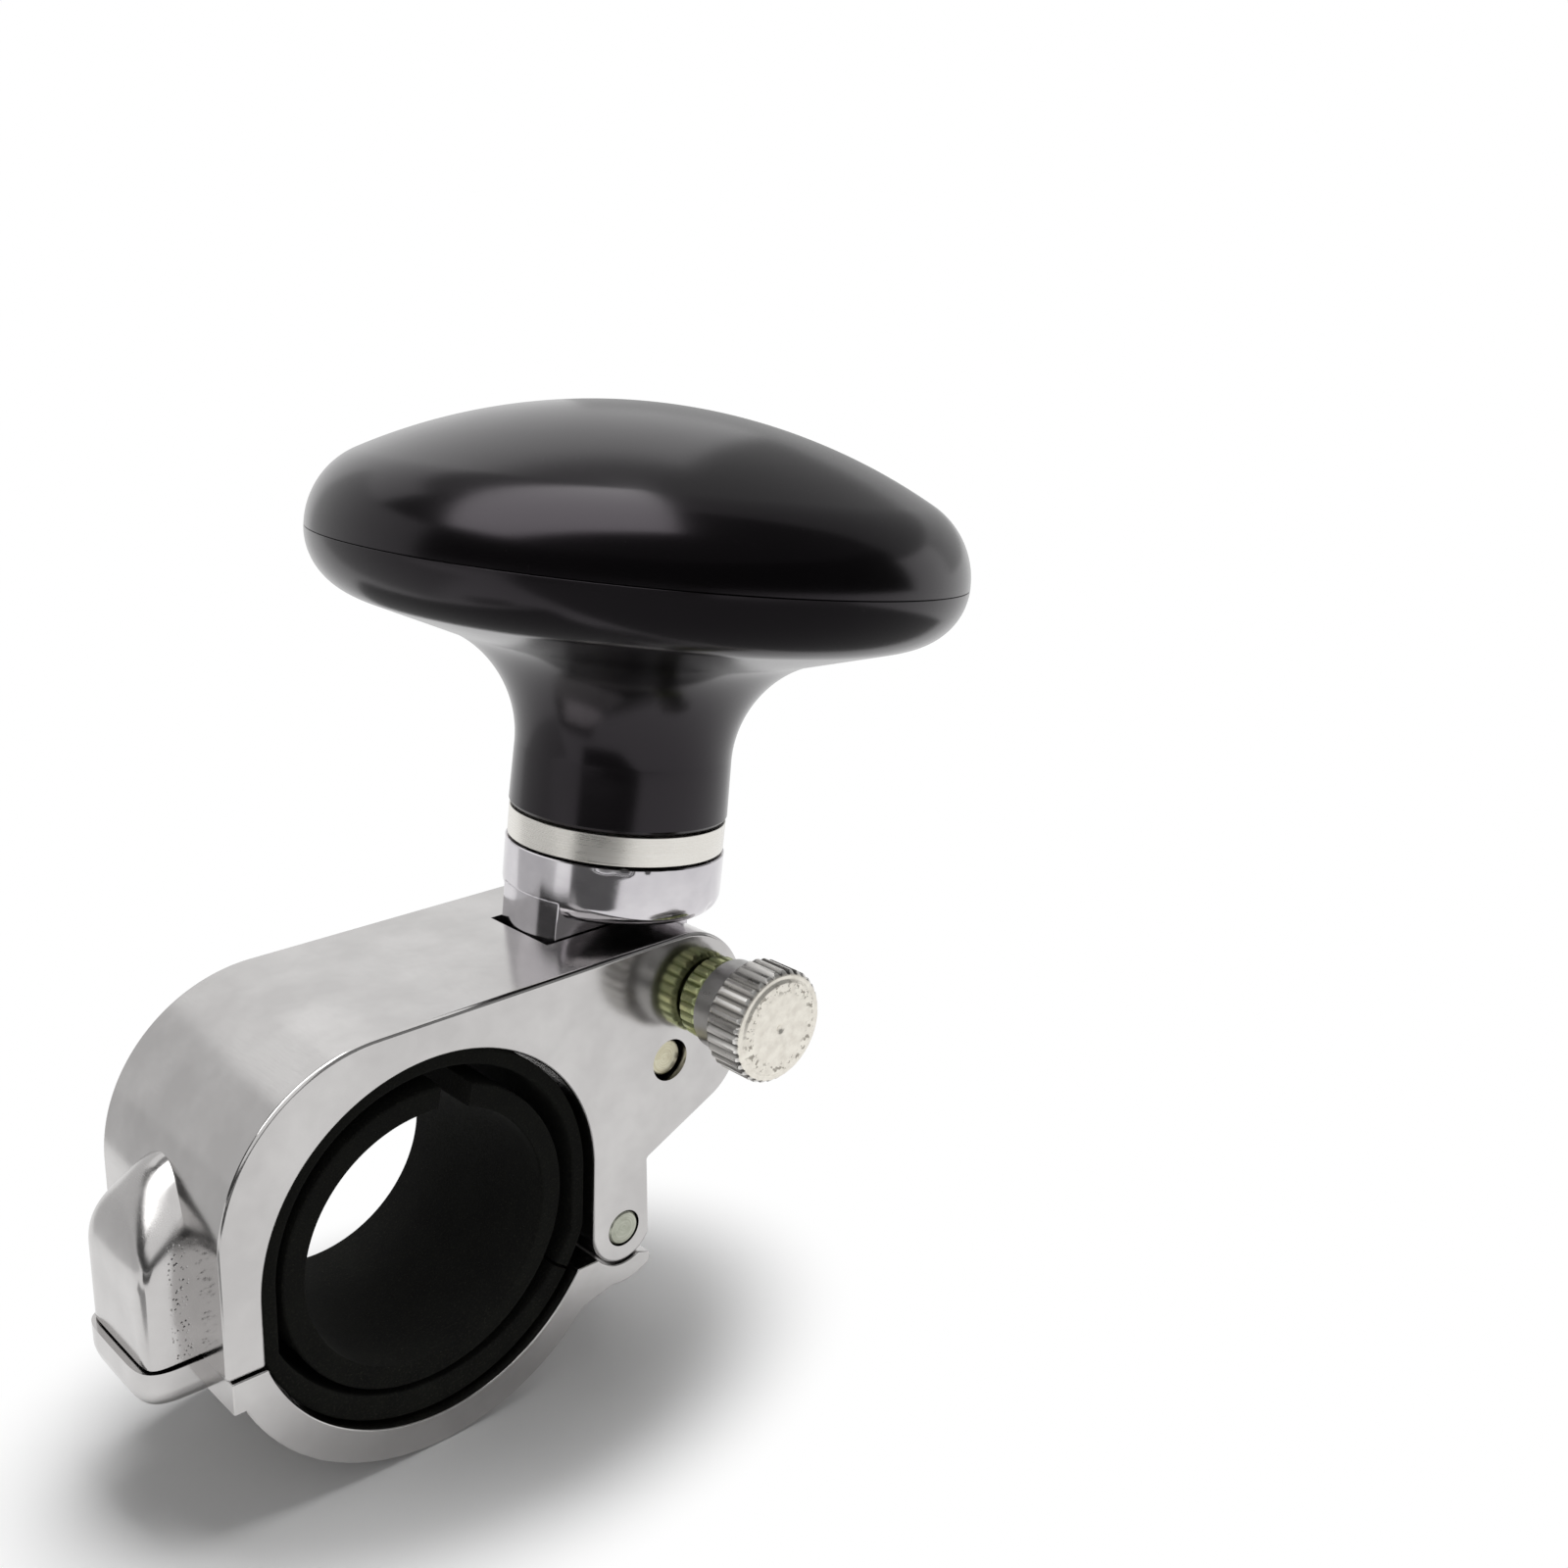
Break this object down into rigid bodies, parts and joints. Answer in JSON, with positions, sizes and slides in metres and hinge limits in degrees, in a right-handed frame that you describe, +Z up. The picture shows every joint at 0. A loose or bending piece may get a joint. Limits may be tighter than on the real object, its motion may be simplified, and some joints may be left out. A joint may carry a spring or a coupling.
{
  "type": "steering wheel spinner knob",
  "caption": "Folding steering wheel spinner knob: a mirror-polished hinged rim clamp with rubber liners, a sprung lock plunger, a pivoting arm and a wide black knob that turns on ball bearings.",
  "frame": {"origin": "centre of the clamp's round seat, halfway along the wheel rim", "axes": "+Y along the wheel rim, away from the face with the lock plunger; +X towards the cap's hinge and the arm; +Z up towards the knob"},
  "size_m": [0.1072, 0.076, 0.1134],
  "materials": {
    "polished_metal": "mirror polished",
    "brushed_aluminium": "finely brushed round the axis",
    "knurled_nickel": "bright, with straight serrations",
    "plain_steel": "turned",
    "bearing_steel": "ground",
    "cage_brass": "pressed",
    "pin_brass": "turned, dull",
    "yellow_zinc": "yellow-green zinc plating",
    "black_rubber": "matt",
    "black_gloss": "gloss"
  },
  "bodies": {
    "clamp": {"saddle": "polished_metal", "plunger_bushing": "yellow_zinc", "hinge_pin": "plain_steel", "pivot_pin": "pin_brass", "rubber_liner": "black_rubber", "adapter_ring": "black_rubber", "plunger_spring": "plain_steel"},
    "cap": {"clamp_cap": "polished_metal"},
    "screw": {"clamp_screw": "plain_steel"},
    "plunger": {"plunger_pin": "plain_steel", "pull_knob": "knurled_nickel"},
    "arm": {"pivot_arm": "polished_metal", "spindle": "plain_steel", "lower_bearing_inner_race": "bearing_steel", "upper_bearing_inner_race": "bearing_steel", "bearing_spacer": "plain_steel", "spindle_washer": "plain_steel", "spindle_nut": "plain_steel"},
    "knob": {"knob_base": "black_gloss", "knob_cap": "black_gloss", "neck_ring": "brushed_aluminium", "lower_bearing_outer_race": "bearing_steel", "upper_bearing_outer_race": "bearing_steel"},
    "ball_sets": {"lower_bearing_cage": "cage_brass", "upper_bearing_cage": "cage_brass", "lower_bearing_ball_1": "bearing_steel", "lower_bearing_ball_2": "bearing_steel", "lower_bearing_ball_3": "bearing_steel", "lower_bearing_ball_4": "bearing_steel", "lower_bearing_ball_5": "bearing_steel", "lower_bearing_ball_6": "bearing_steel", "lower_bearing_ball_7": "bearing_steel", "upper_bearing_ball_1": "bearing_steel", "upper_bearing_ball_2": "bearing_steel", "upper_bearing_ball_3": "bearing_steel", "upper_bearing_ball_4": "bearing_steel", "upper_bearing_ball_5": "bearing_steel", "upper_bearing_ball_6": "bearing_steel", "upper_bearing_ball_7": "bearing_steel"}
  },
  "joints": [
    {"name": "arm_fold", "type": "hinge", "parent": "clamp", "child": "arm", "pos_m": [0.0325, 0, 0.0113], "axis": [0, 1, 0], "range_deg": [0, 85]},
    {"name": "knob_spin", "type": "hinge", "parent": "arm", "child": "knob", "pos_m": [0.0325, 0, 0.0113], "axis": [0.0854, 0, 0.9963], "continuous": true},
    {"name": "ball_set_spin", "type": "hinge", "parent": "arm", "child": "ball_sets", "pos_m": [0.0325, 0, 0.0113], "axis": [0.0854, 0, 0.9963], "continuous": true},
    {"name": "plunger_pull", "type": "slide", "parent": "clamp", "child": "plunger", "axis": [0, -1, 0], "range_m": [0, 0.0035], "stiffness_N_per_m": 600, "springref_m": -0.002, "deforming": ["plunger_spring"]},
    {"name": "cap_hinge", "type": "hinge", "parent": "clamp", "child": "cap", "pos_m": [0.0259, 0, -0.0092], "axis": [0, -1, 0], "range_deg": [0, 75]},
    {"name": "clamp_screw_turn", "type": "hinge", "parent": "cap", "child": "screw", "pos_m": [-0.0262, 0, -0.009], "axis": [0, 0, 1], "continuous": true}
  ],
  "couplings": [
    {"joint": "plunger_pull", "follows": "arm_fold", "m_per_rad": 0.002359},
    {"joint": "ball_set_spin", "follows": "knob_spin", "ratio": 0.637}
  ]
}
